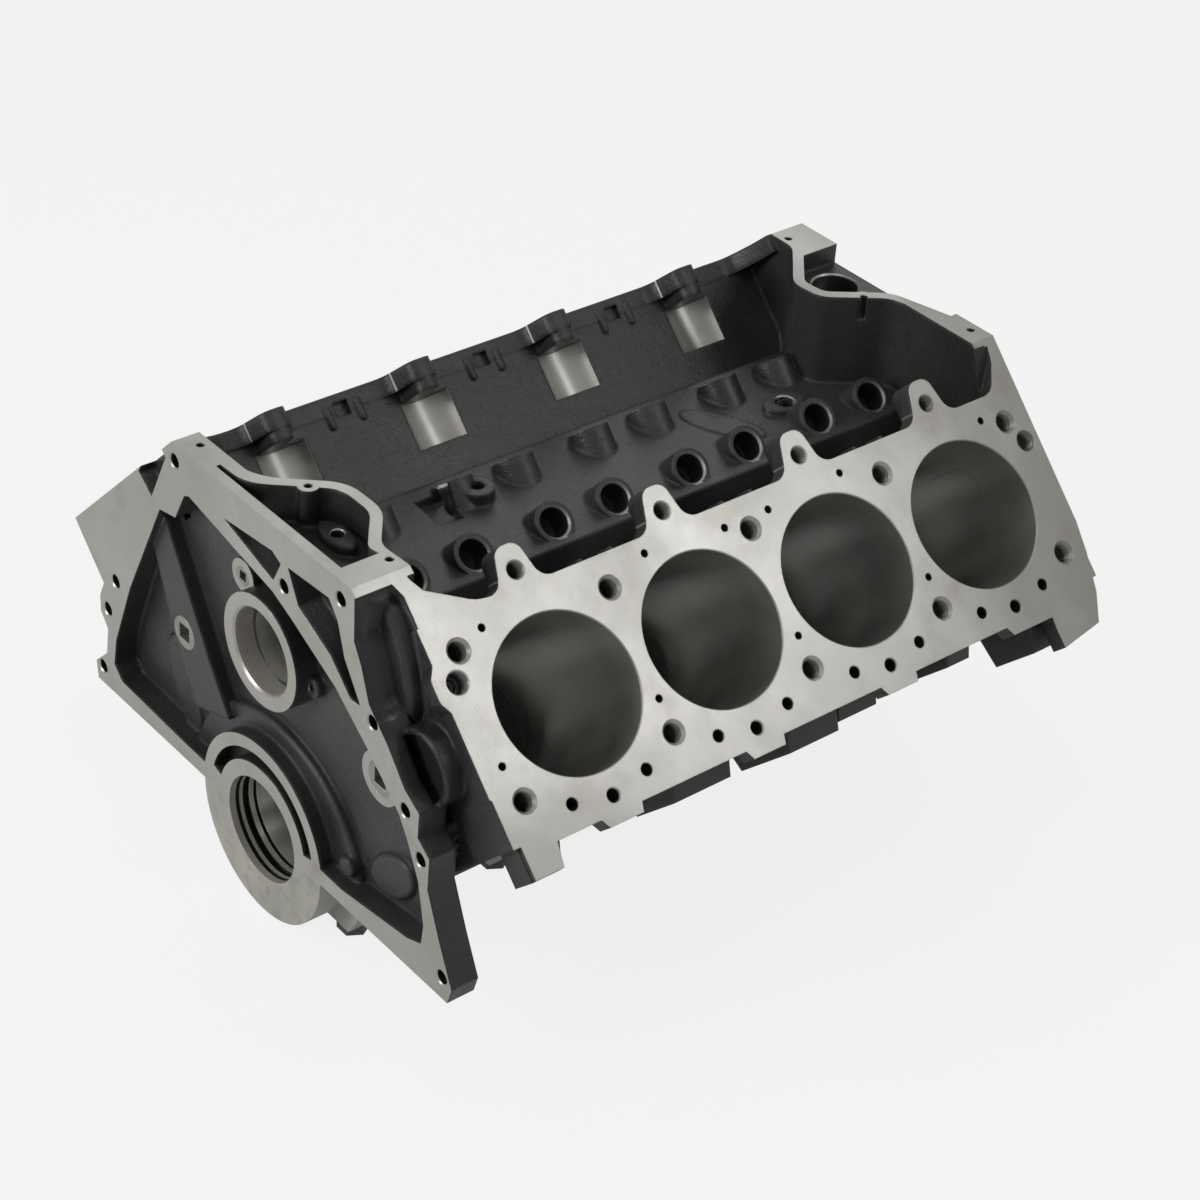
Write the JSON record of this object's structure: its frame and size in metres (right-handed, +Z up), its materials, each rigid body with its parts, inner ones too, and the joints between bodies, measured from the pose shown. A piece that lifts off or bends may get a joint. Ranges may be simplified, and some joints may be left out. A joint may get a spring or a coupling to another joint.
{
  "type": "engine block",
  "caption": "Bare iron cylinder block of a ninety degree V8, with crankshaft, camshaft and lifter bores, main bearing caps and plugs.",
  "frame": {"origin": "where the crankshaft's axis leaves the bell housing face", "axes": "+Y along the crankshaft towards the timing face, +Z up through the valley, +X to the bank that faces the camera"},
  "size_m": [0.5318, 0.574, 0.338],
  "materials": {
    "casting": "dark cast skin with bright machined faces",
    "caps": "cast with machined sides",
    "bolts": "black oxide",
    "gallery_plugs": "dull steel",
    "core_plugs": "plated steel"
  },
  "bodies": {
    "root": {"cylinder_block": "casting", "main_cap_1": "caps", "main_cap_2": "caps", "main_cap_3": "caps", "main_cap_4": "caps", "main_cap_5": "caps", "main_bolts_1": "bolts", "main_bolts_2": "bolts", "main_bolts_3": "bolts", "main_bolts_4": "bolts", "main_bolts_5": "bolts", "gallery_plug_left": "gallery_plugs", "gallery_plug_right": "gallery_plugs", "gallery_plug_upper": "gallery_plugs", "core_plug_near_1": "core_plugs", "core_plug_near_2": "core_plugs", "core_plug_near_3": "core_plugs", "core_plug_far_1": "core_plugs", "core_plug_far_2": "core_plugs", "core_plug_far_3": "core_plugs"}
  },
  "joints": []
}
